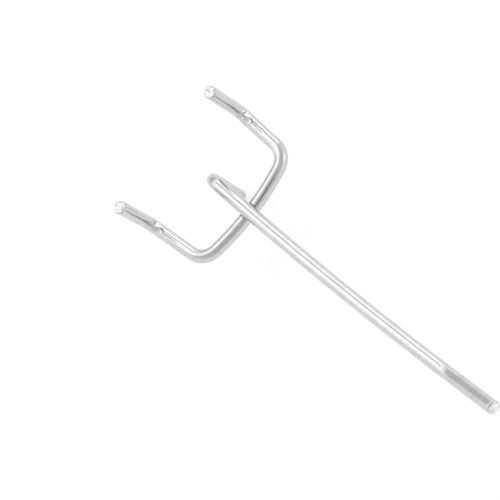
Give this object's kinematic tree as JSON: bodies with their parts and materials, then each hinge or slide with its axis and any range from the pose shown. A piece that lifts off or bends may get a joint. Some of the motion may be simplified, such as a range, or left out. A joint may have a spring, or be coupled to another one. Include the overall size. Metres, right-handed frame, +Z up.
{
  "type": "pegboard hook",
  "caption": "Straight plated wire hook for pegboard: a long arm with a turned-up tip and a rest leg, welded across a yoke whose prongs hook behind the board.",
  "frame": {"origin": "on the front face of the board, midway between the two prongs, at the height of the legs' axes", "axes": "+X straight out of the board towards the arm's tip, +Y from one prong to the other, +Z up along the prongs"},
  "size_m": [0.1579, 0.0556, 0.0475],
  "materials": {
    "plated_steel": "drawn steel wire, bright zinc plated"
  },
  "bodies": {
    "root": {"arm_wire": "plated_steel", "yoke_wire": "plated_steel", "weld": "plated_steel"}
  },
  "joints": []
}
